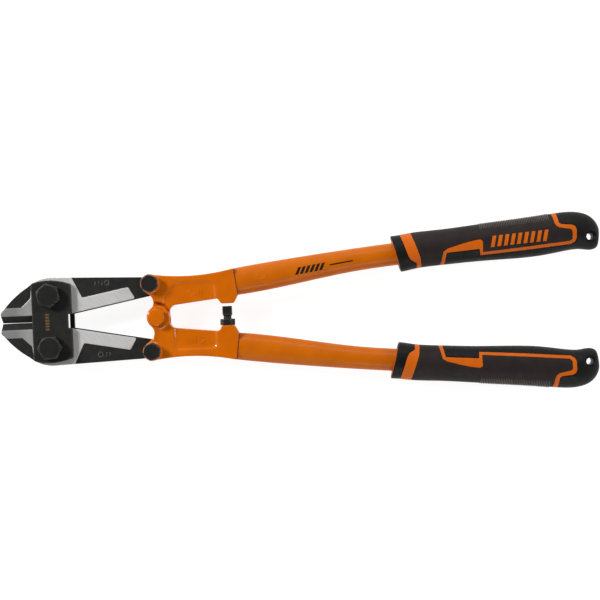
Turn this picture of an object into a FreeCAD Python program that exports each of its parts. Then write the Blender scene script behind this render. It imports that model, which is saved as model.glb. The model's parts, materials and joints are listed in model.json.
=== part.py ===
"""Bolt cutters, 450 mm class: hinged forged jaws between two plates, compound handles.

The tool lies on its back. While it is modelled, the origin is the centre pivot in the tool's
middle plane: +X runs towards the grips, +Y across the tool and +Z up through the bolt heads.
Every sub-part is then placed so that the row's origin is under the middle of the tool.

The two halves of the tool are alike. Each half is drawn as the upper one (+Y side), and the
lower one is the same drawing turned over about the X axis.
"""

import FreeCAD, Part
import Sketcher
import math
import os

V = FreeCAD.Vector
X_AXIS = V(1, 0, 0)
Z_AXIS = V(0, 0, 1)

doc = FreeCAD.newDocument("bolt_cutters")
sheet = doc.addObject("Spreadsheet::Sheet", "sizes")
nodes = []

# ---------------------------------------------------------------- driving dimensions (mm)

DIMENSIONS = [
    ("nose_reach", 117.4, "centre pivot to the nose of the jaws"),
    ("grip_reach", 335.8, "centre pivot to the end of the longer grip"),
    ("rest_height", 13.4, "middle plane above the surface that the tool lies on"),
    ("jaw_pivot_x", -80.2, "jaw bolts"),
    ("jaw_pivot_y", 19.6, "jaw bolts"),
    ("link_pivot_x", -4.1, "bolts that join the jaw tails to the handles"),
    ("link_pivot_y", 25.6, "bolts that join the jaw tails to the handles"),
    ("running_gap", 0.05, "radial clearance of a bolt in its bore"),
    # jaws
    ("jaw_thickness", 9.0, "over the ground faces"),
    ("forged_step", 0.4, "how far the black forged faces lie below the ground ones"),
    ("edge_gap", 0.1, "half the gap between the cutting edges when closed"),
    ("nose_gap", 0.25, "half the gap at the very nose"),
    ("nose_lean", 1.2, "how far the nose slopes back at the cutting edge"),
    ("edge_start_x", -107.5, "where the cutting edges have come together"),
    ("nose_corner_y", 7.2, "outer corner of the nose"),
    ("nose_corner_radius", 5.0, "outer corner of the nose"),
    ("cheek_start_x", -115.2, "front end of the jaw's outer slope"),
    ("cheek_start_y", 9.8, "front end of the jaw's outer slope"),
    ("cheek_end_x", -96.3, "rear end of the jaw's outer slope"),
    ("cheek_end_y", 26.6, "rear end of the jaw's outer slope"),
    ("cheek_radius", 70.0, "curve of the jaw's outer slope"),
    ("shoulder_radius", 27.0, "curve from the outer slope to the back of the jaw"),
    ("shoulder_offset", 1.5, "where that curve ends, behind the jaw bolt"),
    ("bevel_height", 5.4, "how far the cutting bevel reaches from the edge"),
    ("bevel_edge", 0.8, "thickness left at the cutting edge"),
    ("bevel_end_x", -90.0, "where the bevel runs out under the plates"),
    ("band_height", 11.3, "top of the ground band behind the cutting bevel"),
    ("jaw_back_y", 33.2, "back of the jaw at its pivot"),
    ("jaw_back_tail_y", 30.7, "back of the jaw where the tail begins"),
    ("heel_x", -62.0, "corner of the heel behind the plates"),
    ("heel_y", 5.3, "corner of the heel behind the plates"),
    ("tail_inner_y", 16.0, "inner edge of the jaw at its tail"),
    ("tail_radius", 8.6, "round end of the jaw's tail"),
    ("tail_drop", 0.65, "centre of the tail's round end below its bolt"),
    ("tail_end_rise", 0.36, "inner edge of the tail above tail_inner_y, at its bolt"),
    ("inner_chamfer", 0.9, "broken edge along the inner side of the tail"),
    # head plates
    ("plate_gap", 0.1, "between a jaw's ground face and a plate"),
    ("plate_thickness", 4.0, "each head plate"),
    ("plate_front_x", -93.2, "edge towards the nose"),
    ("plate_rear_x", -63.3, "edge towards the handles"),
    ("plate_half_height", 31.1, "over the jaw bolts"),
    ("plate_arc_radius", 43.0, "curved ends of the plates"),
    ("plate_corner_radius", 1.6, "corners of the plates"),
    ("plate_edge_chamfer", 0.5, "outer edges of the plates"),
    ("heel_window", 10.7, "height of the notch and the slot between the jaw heels"),
    ("notch_depth", 2.8, "notch in the front plate"),
    ("slot_width", 1.9, "slot in the rear plate"),
    ("slot_rim", 3.5, "strip left behind the slot"),
    ("rear_plate_overhang", 0.5, "rear plate past the front one, towards the handles"),
    # bolts and nuts
    ("jaw_bolt_radius", 5.0, "shank of an M10 bolt"),
    ("jaw_bolt_flats", 16.4, "across the flats of its head"),
    ("jaw_bolt_head", 6.0, "height of its head"),
    ("jaw_nut_height", 4.8, "thin nut under the rear plate"),
    ("link_bolt_radius", 4.0, "shank of an M8 bolt"),
    ("link_bolt_flats", 12.2, "across the flats of its small head"),
    ("link_bolt_head", 5.3, "height of its head"),
    ("link_nut_height", 4.0, "thin nut under the handle forgings"),
    ("bolt_end_inset", 0.3, "end of a bolt above the face of its nut"),
    ("head_chamfer_angle", 30.0, "degrees, chamfer on the corners of a hexagon"),
    # handle forgings
    ("arm_thickness", 15.4, "forging at the tube"),
    ("ear_thickness", 17.2, "over the ears of a fork and its bosses"),
    ("link_ear_radius", 7.1, "ear round the link bolt"),
    ("ear_back_offset", 2.6, "where the back of the forging leaves the ear"),
    ("ear_foot_offset", 4.2, "where the neck leaves the ear, in front of the link bolt"),
    ("link_slot_height", 8.5, "slot for the jaw's tail"),
    ("link_slot_radius", 9.8, "floor of that slot from the link bolt"),
    ("neck_arc_radius", 6.8, "hollow between the two ears"),
    ("neck_x", -5.2, "front end of that hollow"),
    ("neck_y", 17.4, "front end of that hollow"),
    ("neck_foot_y", 6.7, "where that hollow meets the centre ear"),
    ("centre_ear_radius", 8.7, "ear round the centre bolt"),
    ("centre_ear_offset", 1.4, "its centre behind the centre bolt"),
    ("centre_slot_height", 9.3, "slot for the tongue"),
    ("centre_slot_radius", 10.7, "floor of that slot from the centre bolt"),
    ("tongue_thickness", 9.0, "tongue of the upper forging"),
    ("tongue_radius", 8.1, "round end of the tongue"),
    ("tongue_hole_radius", 6.45, "oversize hole: the linkage is opened at this pivot"),
    ("tongue_step_radius", 11.2, "where the upper forging thickens behind the tongue"),
    ("back_radius", 155.0, "curve of the forging's back"),
    ("window_x", 10.1, "window between the two forgings, at the centre pivot"),
    ("window_corner_y", 8.2, "its corner"),
    ("window_corner_radius", 5.0, "its corner"),
    ("window_end_x", 46.4, "where the stop boss begins"),
    ("window_end_y", 12.2, "where the stop boss begins"),
    ("stop_boss_start_x", 49.0, "flat end of the stop boss"),
    ("stop_boss_end_x", 58.6, "flat end of the stop boss"),
    ("stop_face_y", 8.25, "flat end of the stop boss"),
    ("panel_start_x", 13.6, "sunk panel of the forging"),
    ("panel_end_x", 44.5, "sunk panel of the forging"),
    ("panel_top_y", 24.9, "sunk panel of the forging"),
    ("panel_foot_y", 2.0, "open foot of the panel, past the inner edge of the arm"),
    ("panel_shoulder_x", 15.2, "top of the slanted side of the upper forging's panel"),
    ("panel_bend_radius", 2.6, "bends of the panel's front side"),
    ("panel_corner_radius", 4.0, "rear corner of the panel"),
    ("panel_depth", 1.2, "sunk panel of the forging"),
    ("panel_slant_x", 5.8, "slanted side of the upper forging's panel, at its foot"),
    ("panel_slant_y", 14.8, "slanted side of the upper forging's panel, at its foot"),
    ("tang_length", 24.0, "tang inside the tube"),
    ("tang_gap", 0.65, "clearance of the tang in the tube"),
    # stop screw
    ("stop_screw_x", 53.2, "axis of the stop screw"),
    ("stop_screw_radius", 3.0, "M6"),
    ("stop_head_flats", 7.2, "square head"),
    ("stop_head_top_y", 6.2, "face of the head, from the middle of the tool"),
    ("stop_head_height", 6.6, "square head"),
    ("stop_head_corner", 0.7, "rounded corners of the square head"),
    ("stop_head_foot", 5.4, "under the tapered foot of the head"),
    ("stop_foot_height", 1.3, "tapered foot of the head"),
    ("stop_nut_flats", 10.0, "across the flats of the M6 lock nut"),
    ("stop_nut_height", 4.8, "lock nut"),
    ("stop_screw_length", 15.0, "from the foot of the head to the screw's end"),
    ("stop_hole_depth", 17.0, "tapped hole in the boss"),
    # tubes
    ("seam_x", 60.6, "middle of the seam between forging and tube"),
    ("seam_y", 24.4, "middle of the seam between forging and tube"),
    ("seam_angle", 7.5, "degrees, direction of the tube at the seam"),
    ("tube_width", 20.4, "flattened end of the tube"),
    ("tube_waist_x", 150.0, "where the tube has become round"),
    ("tube_waist_y", 36.9, "where the tube has become round"),
    ("tube_diameter", 16.9, "round part of the tube"),
    ("tube_wall", 1.8, "wall of the tube"),
    ("tube_end_x", 318.0, "end of the tube in the grip"),
    ("tube_end_y", 50.3, "end of the tube in the grip"),
    # grips
    ("grip_thickness", 26.8, "grip, through the tool"),
    ("grip_cover", 3.2, "thickness of the soft covers over the core"),
    ("bore_gap", 0.05, "clearance of the tube in the grip core"),
    ("cutter_spare", 4.0, "how far a cutting block stands out of the grip, both sides together"),
    ("lower_grip_shift", -4.0, "the lower grip sits this much nearer the head"),
    ("hang_hole_x", 328.1, "hole to hang the tool by"),
    ("hang_hole_y", 46.9, "hole to hang the tool by"),
    ("hang_hole_radius", 2.65, "hole to hang the tool by"),
    ("hang_seat_radius", 4.2, "flat round the mouth of the hanging hole"),
    ("hang_seat_thickness", 15.0, "grip between the two flats"),
]

for row, (alias, value, meaning) in enumerate(DIMENSIONS, start=1):
    sheet.set("A%d" % row, meaning)
    sheet.set("B%d" % row, str(value))
    sheet.setAlias("B%d" % row, alias)


class Size:
    """A number together with the spreadsheet formula that gives it."""

    def __init__(self, value, formula):
        self.value = value
        self.formula = formula

    def _with(self, other, sign, result, swapped=False):
        first, second = formula_of(self), formula_of(other)
        if swapped:
            first, second = second, first
        return Size(result, "(%s %s %s)" % (first, sign, second))

    def __add__(self, other):
        return self._with(other, "+", self.value + plain(other))

    def __radd__(self, other):
        return self._with(other, "+", plain(other) + self.value, swapped=True)

    def __sub__(self, other):
        return self._with(other, "-", self.value - plain(other))

    def __rsub__(self, other):
        return self._with(other, "-", plain(other) - self.value, swapped=True)

    def __mul__(self, other):
        return self._with(other, "*", self.value * plain(other))

    def __rmul__(self, other):
        return self._with(other, "*", plain(other) * self.value, swapped=True)

    def __truediv__(self, other):
        return self._with(other, "/", self.value / plain(other))

    def __neg__(self):
        return Size(-self.value, "(0 - %s)" % self.formula)


def plain(number):
    return number.value if isinstance(number, Size) else float(number)


def formula_of(number):
    return number.formula if isinstance(number, Size) else repr(number)


class Sizes:
    """The driving dimensions by name, each as a Size bound to its cell."""


size = Sizes()
for alias, value, meaning in DIMENSIONS:
    setattr(size, alias, Size(value, "sizes." + alias))


def bind(thing, prop, number):
    """Sets a property, and binds it to the sheet where the number comes from there."""
    setattr(thing, prop, plain(number))
    if isinstance(number, Size):
        thing.setExpression(prop, number.formula)


# ---------------------------------------------------------------- drawing helpers

def origin_plane(body, role):
    return [feature for feature in body.Origin.OriginFeatures if feature.Role == role][0]


def new_sketch(body, name, role="XY_Plane", offset=0.0):
    """A sketch on one of the body's own planes, moved along the plane's normal."""
    sketch = body.newObject("Sketcher::SketchObject", name)
    sketch.AttachmentSupport = [(origin_plane(body, role), "")]
    sketch.MapMode = "FlatFace"
    sketch.AttachmentOffset = FreeCAD.Placement(V(0, 0, plain(offset)), FreeCAD.Rotation())
    if isinstance(offset, Size):
        sketch.setExpression("AttachmentOffset.Base.z", offset.formula)
    return sketch


def pin(sketch, geometry, position, x, y):
    """Holds a point of the sketch at x, y from the origin."""
    for kind, level, number in (("DistanceX", "Vertical", x), ("DistanceY", "Horizontal", y)):
        if plain(number) == 0.0:
            sketch.addConstraint(Sketcher.Constraint(level, -1, 1, geometry, position))
            continue
        index = sketch.addConstraint(
            Sketcher.Constraint(kind, -1, 1, geometry, position, plain(number)))
        if isinstance(number, Size):
            sketch.setExpression("Constraints[%d]" % index, number.formula)


def set_radius(sketch, geometry, radius):
    index = sketch.addConstraint(Sketcher.Constraint("Radius", geometry, plain(radius)))
    if isinstance(radius, Size):
        sketch.setExpression("Constraints[%d]" % index, radius.formula)


def circle(sketch, x, y, radius):
    geometry = sketch.addGeometry(
        Part.Circle(V(plain(x), plain(y), 0), Z_AXIS, plain(radius)))
    pin(sketch, geometry, 3, x, y)
    set_radius(sketch, geometry, radius)


def arc_between(start, end, radius):
    """Arc from start to end; a positive radius turns left, a negative one right.
    Returns it with the numbers of its first and last point along that way."""
    chord = end - start
    half = chord.Length / 2
    left = V(-chord.y, chord.x, 0).normalize()
    side = 1 if radius > 0 else -1
    centre = (start + end) / 2 + left * side * math.sqrt(max(0.0, radius * radius - half * half))
    angles = [math.atan2(p.y - centre.y, p.x - centre.x) for p in (start, end)]
    if radius < 0:
        angles.reverse()
    if angles[1] < angles[0]:
        angles[1] += 2 * math.pi
    full = Part.Circle(centre, Z_AXIS, abs(radius))
    arc = Part.ArcOfCircle(full, angles[0], angles[1])
    return arc, (1, 2) if radius > 0 else (2, 1)


def outline(sketch, corners):
    """A closed outline. A corner is (x, y), or (x, y, "round", radius) to round it, or
    (x, y, "arc", radius) where the side that leaves it is an arc: left for a positive radius."""
    count = len(corners)
    points = [V(plain(corner[0]), plain(corner[1]), 0) for corner in corners]
    styles = [corner[2] if len(corner) > 2 else "sharp" for corner in corners]
    radii = [corner[3] if len(corner) > 3 else None for corner in corners]
    cuts = []
    for i in range(count):
        if styles[i] != "round":
            cuts.append((points[i], points[i]))
            continue
        before = (points[i - 1] - points[i]).normalize()
        after = (points[(i + 1) % count] - points[i]).normalize()
        reach = plain(radii[i]) / math.tan(before.getAngle(after) / 2)
        cuts.append((points[i] + before * reach, points[i] + after * reach))
    sides = []
    for i in range(count):
        start, end = cuts[i][1], cuts[(i + 1) % count][0]
        if styles[i] == "arc":
            shape, ends = arc_between(start, end, plain(radii[i]))
        else:
            shape, ends = Part.LineSegment(start, end), (1, 2)
        side = sketch.addGeometry(shape)
        sides.append((side, ends))
        if styles[i] == "arc" and 2 * abs(plain(radii[i])) - (end - start).Length < 1e-6:
            sketch.addConstraint(Sketcher.Constraint("Symmetric", side, 1, side, 2, side, 3))
        elif styles[i] == "arc":
            set_radius(sketch, side, radii[i] if plain(radii[i]) > 0 else -radii[i])
    for i in range(count):
        last, last_ends = sides[i - 1]
        following, following_ends = sides[i]
        if styles[i] != "round":
            sketch.addConstraint(Sketcher.Constraint(
                "Coincident", last, last_ends[1], following, following_ends[0]))
            pin(sketch, following, following_ends[0], corners[i][0], corners[i][1])
            continue
        turn = (points[i] - points[i - 1]).cross(points[(i + 1) % count] - points[i]).z
        radius = math.copysign(plain(radii[i]), turn)
        shape, ends = arc_between(cuts[i][0], cuts[i][1], radius)
        arc = sketch.addGeometry(shape)
        corner = sketch.addGeometry(Part.Point(points[i]), True)
        sketch.addConstraint(Sketcher.Constraint("Tangent", last, last_ends[1], arc, ends[0]))
        sketch.addConstraint(
            Sketcher.Constraint("Tangent", arc, ends[1], following, following_ends[0]))
        sketch.addConstraint(Sketcher.Constraint("PointOnObject", corner, 1, last))
        sketch.addConstraint(Sketcher.Constraint("PointOnObject", corner, 1, following))
        pin(sketch, corner, 1, corners[i][0], corners[i][1])
        set_radius(sketch, arc, radii[i])


def hexagon(sketch, x, y, flats, turn):
    """A regular hexagon with one corner at the angle turn."""
    reach = flats / math.sqrt(3)
    corners = []
    for i in range(6):
        angle = math.radians(turn + 60 * i)
        corners.append((x + reach * math.cos(angle), y + reach * math.sin(angle)))
    outline(sketch, corners)


def new_body(name):
    body = doc.addObject("PartDesign::Body", name)
    body.Label = name
    nodes.append(body)
    return body


def pad(body, sketch, length, symmetric=False, reverse=False):
    feature = body.newObject("PartDesign::Pad", sketch.Name + "_pad")
    feature.Profile = sketch
    bind(feature, "Length", length)
    feature.SideType = "Symmetric" if symmetric else "One side"
    feature.Reversed = reverse
    return feature


def pocket(body, sketch, length=None, symmetric=False, reverse=False):
    """Cuts the sketch out of the body, right through where no length is given."""
    feature = body.newObject("PartDesign::Pocket", sketch.Name + "_pocket")
    feature.Profile = sketch
    feature.SideType = "Symmetric" if symmetric else "One side"
    feature.Reversed = reverse
    if length is None:
        feature.Type = "ThroughAll"
    else:
        bind(feature, "Length", length)
    return feature


def mirror_to_back(body, feature):
    """Repeats a feature of the front face on the back face."""
    mirrored = body.newObject("PartDesign::Mirrored", feature.Name + "_back")
    mirrored.Originals = [feature]
    mirrored.MirrorPlane = (origin_plane(body, "XY_Plane"), [""])
    body.Tip = mirrored
    return mirrored


def place(thing, lower=False, shift=0.0):
    """Puts a sub-part into the row's frame, turned over about X on the lower half."""
    turn = FreeCAD.Rotation(X_AXIS, 180 if lower else 0)
    thing.Placement = FreeCAD.Placement(V(0, 0, 0), turn)
    middle = (size.grip_reach - size.nose_reach) / 2
    thing.setExpression("Placement.Base.x", (shift - middle).formula)
    thing.setExpression("Placement.Base.z", size.rest_height.formula)


def side_name(lower):
    return "lower" if lower else "upper"


JAW_PIVOT = (size.jaw_pivot_x, size.jaw_pivot_y)
LINK_PIVOT = (size.link_pivot_x, size.link_pivot_y)
PLATE_INNER = size.jaw_thickness / 2 + size.plate_gap
PLATE_OUTER = PLATE_INNER + size.plate_thickness
EAR_OUTER = size.ear_thickness / 2
ZERO = Size(0.0, "0")
CLEAR = 20.0  # the open sides of a cut lie this far out, beyond any ear


# ---------------------------------------------------------------- head plates

def head_plate(name, front):
    """One of the two plates that hold the jaw bolts."""
    body = new_body(name)
    sketch = new_sketch(body, name + "_outline", offset=PLATE_INNER)
    x0 = size.plate_front_x
    x1 = size.plate_rear_x if front else size.plate_rear_x + size.rear_plate_overhang
    reach = plain(size.plate_arc_radius)

    def arc_y(x):
        """Edge of the plate at x, on the arc whose crown is over the jaw bolt."""
        away = plain(x) - plain(size.jaw_pivot_x)
        return math.sqrt(reach * reach - away * away) - reach + plain(size.plate_half_height)

    y0, y1 = arc_y(x0), arc_y(x1)
    corners = [
        (x0, -y0, "arc", size.plate_arc_radius),
        (x1, -y1),
        (x1, y1, "arc", size.plate_arc_radius),
        (x0, y0),
    ]
    outline(sketch, corners)
    pad(body, sketch, size.plate_thickness)
    holes = new_sketch(body, name + "_bolt_holes", offset=PLATE_INNER)
    for y in (size.jaw_pivot_y, -size.jaw_pivot_y):
        circle(holes, size.jaw_pivot_x, y, size.jaw_bolt_radius + size.running_gap)
    pocket(body, holes, size.plate_thickness, reverse=True)
    window = new_sketch(body, name + "_window", offset=PLATE_INNER)
    half = size.heel_window / 2
    if front:
        start, end = x1 - size.notch_depth, x1 + size.notch_depth
    else:
        end = x1 - size.slot_rim
        start = end - size.slot_width
    outline(window, [(start, -half), (end, -half), (end, half), (start, half)])
    pocket(body, window, size.plate_thickness, reverse=True)
    doc.recompute()
    round_upright_corners(body, [(x0, y0), (x0, -y0), (x1, y1), (x1, -y1)])
    chamfer_outer_rim(body)
    place(body, lower=not front)


def dress_edges(body, kind, chosen, amount_name, amount):
    """Adds a chamfer or fillet on the edges of the body that the test picks."""
    base = body.Tip
    names = ["Edge%d" % index for index, edge in enumerate(base.Shape.Edges, start=1)
             if chosen(edge)]
    feature = body.newObject(kind, base.Name + "_edges")
    feature.Base = (base, names)
    bind(feature, amount_name, amount)
    doc.recompute()


def round_upright_corners(body, corners):
    """Rounds the upright edges of a plate that stand at the given corners."""
    def at_corner(edge):
        middle = edge.CenterOfMass
        upright = abs(edge.tangentAt(edge.FirstParameter).z) > 0.99
        return upright and any(
            abs(middle.x - plain(x)) < 0.1 and abs(middle.y - plain(y)) < 0.1
            for x, y in corners)

    dress_edges(body, "PartDesign::Fillet", at_corner, "Radius", size.plate_corner_radius)


def chamfer_outer_rim(body):
    """Breaks the outer face's rim, all but its bolt holes."""
    top = body.Tip.Shape.BoundBox.ZMax

    def on_rim(edge):
        level = all(abs(vertex.Z - top) < 0.01 for vertex in edge.Vertexes)
        return level and len(edge.Vertexes) > 1

    dress_edges(body, "PartDesign::Chamfer", on_rim, "Size", size.plate_edge_chamfer)


# ---------------------------------------------------------------- jaws

# Black forged panels of a jaw, in the tool's frame. The corners that lie outside the jaw only
# close the outline.
NOSE_PANEL = [
    (-125.0, size.band_height),
    (-101.4, size.band_height, "round", 0.8),
    (-94.2, 18.2),
    (-92.0, 40.0),
    (-125.0, 40.0),
]
TAIL_PANEL = [
    (-62.9, 32.6),
    (-55.4, 16.9, "round", 1.8),
    (-20.6, 23.5, "round", 1.6),
    (-16.0, 15.5, "round", 1.2),
    (-17.6, 12.0),
    (10.0, 12.0),
    (10.0, 40.0),
    (-62.9, 40.0),
]


def break_inner_edges(body):
    """Chamfers the two long edges on the inner side of a jaw's tail."""
    start = V(plain(size.heel_x), plain(size.heel_y), 0)
    end = V(plain(size.link_pivot_x), plain(size.tail_inner_y + size.tail_end_rise), 0)

    def inner(edge):
        ends = sorted((vertex.Point for vertex in edge.Vertexes), key=lambda point: point.x)
        flat = [V(point.x, point.y, 0) for point in ends]
        level = abs(ends[0].z - ends[-1].z) < 0.01
        return level and (flat[0] - start).Length < 0.01 and (flat[-1] - end).Length < 0.01

    dress_edges(body, "PartDesign::Chamfer", inner, "Size", size.inner_chamfer)


def jaw(lower):
    """A forged jaw: cutting edge, ground faces and the long tail that the handle works."""
    name = side_name(lower) + "_jaw"
    body = new_body(name)
    half = size.jaw_thickness / 2
    px, py = JAW_PIVOT
    qx, qy = LINK_PIVOT
    heel_radius = plain(py) - plain(size.edge_gap)
    heel_run = math.sqrt(heel_radius ** 2 - (plain(py) - plain(size.heel_y)) ** 2)
    tail_y = qy - size.tail_drop
    tail_back = math.sqrt(plain(size.tail_radius) ** 2
                          - (plain(size.jaw_back_tail_y) - plain(tail_y)) ** 2)
    sketch = new_sketch(body, name + "_outline")
    outline(sketch, [
        (size.nose_lean - size.nose_reach, size.nose_gap),
        (size.edge_start_x, size.edge_gap),
        (px, size.edge_gap, "arc", py - size.edge_gap),
        (px + heel_run, size.heel_y),
        (size.heel_x, size.heel_y),
        (qx, size.tail_inner_y + size.tail_end_rise, "arc", size.tail_radius),
        (qx - tail_back, size.jaw_back_tail_y),
        (px + size.shoulder_offset, size.jaw_back_y, "arc", size.shoulder_radius),
        (size.cheek_end_x, size.cheek_end_y, "arc", size.cheek_radius),
        (size.cheek_start_x, size.cheek_start_y, "arc", size.nose_corner_radius),
        (-size.nose_reach, size.nose_corner_y),
    ])
    pad(body, sketch, size.jaw_thickness, symmetric=True)
    doc.recompute()
    break_inner_edges(body)

    bores = new_sketch(body, name + "_bores")
    circle(bores, px, py, size.jaw_bolt_radius + size.running_gap)
    circle(bores, qx, qy, size.link_bolt_radius + size.running_gap)
    pocket(body, bores, symmetric=True)

    bevel = new_sketch(body, name + "_bevel", "YZ_Plane", offset=-size.nose_reach - 1)
    outline(bevel, [
        (-1.0, size.bevel_edge / 2),
        (size.edge_gap, size.bevel_edge / 2),
        (size.bevel_height, half),
        (size.bevel_height, half + 1),
        (-1.0, half + 1),
    ])
    cut = pocket(body, bevel, size.bevel_end_x + size.nose_reach + 1, reverse=True)
    mirror_to_back(body, cut)

    panels = new_sketch(body, name + "_forged_panels", offset=half - size.forged_step)
    outline(panels, NOSE_PANEL)
    outline(panels, TAIL_PANEL)
    cut = pocket(body, panels, reverse=True)
    mirror_to_back(body, cut)
    place(body, lower)


# ---------------------------------------------------------------- bolts and nuts

def hex_bolt(name, x, y, radius, flats, head, seat, end, turn):
    """A bolt with its head on the front. seat is the height of the face under the head."""
    body = new_body(name)
    top = new_sketch(body, name + "_hexagon", offset=seat)
    hexagon(top, x, y, flats, turn)
    pad(body, top, head)
    shank = new_sketch(body, name + "_shank", offset=seat)
    circle(shank, x, y, radius)
    pad(body, shank, seat - end, reverse=True)
    crown(body, name, x, y, flats, seat + head)
    place(body)


def crown(body, name, x, y, flats, top, downwards=False):
    """Turns the corners off a hexagon's face with a shallow cone."""
    reach = flats / math.sqrt(3)
    face = flats * 0.475
    rise = plain(reach - face) * math.tan(math.radians(plain(size.head_chamfer_angle)))
    sign = -1 if downwards else 1
    sketch = new_sketch(body, name + "_crown", "XZ_Plane", offset=-y)
    outline(sketch, [
        (x + face, top),
        (x + reach + 1.0, top),
        (x + reach + 1.0, top - sign * rise * plain(reach + 1.0 - face) / plain(reach - face)),
    ])
    axis = sketch.addGeometry(
        Part.LineSegment(V(plain(x), plain(top) - 5, 0), V(plain(x), plain(top) + 5, 0)), True)
    sketch.addConstraint(Sketcher.Constraint("Vertical", axis))
    pin(sketch, axis, 1, x, top - 5)
    groove = body.newObject("PartDesign::Groove", name + "_crown_groove")
    groove.Profile = sketch
    groove.ReferenceAxis = (sketch, ["Axis0"])
    groove.Angle = 360


def hex_nut(name, x, y, radius, flats, height, seat, turn):
    """A thin nut on the back. seat is the height of the face that it bears on."""
    body = new_body(name)
    sketch = new_sketch(body, name + "_hexagon", offset=seat)
    hexagon(sketch, x, y, flats, turn)
    circle(sketch, x, y, radius)
    pad(body, sketch, height, reverse=True)
    crown(body, name, x, y, flats, seat - height, downwards=True)
    place(body)


# Angle of one corner of each bolt's head, in degrees, and how far its nut is turned from it.
JAW_HEAD_TURN = {"upper": 100.0, "lower": 62.0}
LINK_HEAD_TURN = {"upper_link": 97.0, "lower_link": 80.0, "centre": 36.0}
JAW_NUT_TURN = 17.0
LINK_NUT_TURN = -23.0
STOP_NUT_TURN = 6.0


def bolts_and_nuts():
    jaw_end = -(PLATE_OUTER + size.jaw_nut_height - size.bolt_end_inset)
    link_end = -(EAR_OUTER + size.link_nut_height - size.bolt_end_inset)
    px, py = JAW_PIVOT
    qx, qy = LINK_PIVOT
    for side, y in (("upper", py), ("lower", -py)):
        turn = JAW_HEAD_TURN[side]
        hex_bolt(side + "_jaw_bolt", px, y, size.jaw_bolt_radius, size.jaw_bolt_flats,
                 size.jaw_bolt_head, PLATE_OUTER, jaw_end, turn)
        hex_nut(side + "_jaw_nut", px, y, size.jaw_bolt_radius + size.running_gap,
                size.jaw_bolt_flats, size.jaw_nut_height, -PLATE_OUTER, turn + JAW_NUT_TURN)
    for name, x, y in (("upper_link", qx, qy), ("lower_link", qx, -qy), ("centre", ZERO, ZERO)):
        turn = LINK_HEAD_TURN[name]
        hex_bolt(name + "_bolt", x, y, size.link_bolt_radius, size.link_bolt_flats,
                 size.link_bolt_head, EAR_OUTER, link_end, turn)
        hex_nut(name + "_nut", x, y, size.link_bolt_radius + size.running_gap,
                size.link_bolt_flats, size.link_nut_height, -EAR_OUTER,
                turn + LINK_NUT_TURN)


def stop_screw():
    """The square-headed set screw that the upper handle comes to rest on, and its nut."""
    x = size.stop_screw_x
    foot_y = size.stop_head_top_y - size.stop_head_height
    body = new_body("stop_screw")
    half = size.stop_head_flats / 2
    head = new_sketch(body, "stop_head", "XZ_Plane", offset=-size.stop_head_top_y)
    outline(head, [(x + across * half, along * half, "round", size.stop_head_corner)
                   for across, along in ((-1, -1), (1, -1), (1, 1), (-1, 1))])
    pad(body, head, size.stop_head_height)
    taper = new_sketch(body, "stop_foot", "XY_Plane")
    foot = size.stop_head_foot / 2
    outline(taper, [
        (x, foot_y),
        (x, foot_y - size.stop_foot_height),
        (x + foot, foot_y - size.stop_foot_height),
        (x + half, foot_y),
    ])
    turned = body.newObject("PartDesign::Revolution", "stop_foot_turned")
    turned.Profile = taper
    turned.ReferenceAxis = (taper, ["Edge1"])
    turned.Angle = 360
    shank = new_sketch(body, "stop_shank", "XZ_Plane", offset=-(foot_y - size.stop_foot_height))
    circle(shank, x, ZERO, size.stop_screw_radius)
    pad(body, shank, size.stop_screw_length)
    place(body)

    nut = new_body("stop_lock_nut")
    face = new_sketch(nut, "stop_nut_hexagon", "XZ_Plane", offset=size.stop_face_y)
    hexagon(face, x, ZERO, size.stop_nut_flats, STOP_NUT_TURN)
    circle(face, x, ZERO, size.stop_screw_radius + size.running_gap * 2)
    pad(nut, face, size.stop_nut_height, reverse=True)
    place(nut)


# ---------------------------------------------------------------- handle forgings

def seam_corner(across):
    """A point of the seam line, across from its middle."""
    angle = math.radians(plain(size.seam_angle))
    return (size.seam_x - across * math.sin(angle), size.seam_y + across * math.cos(angle))


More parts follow.
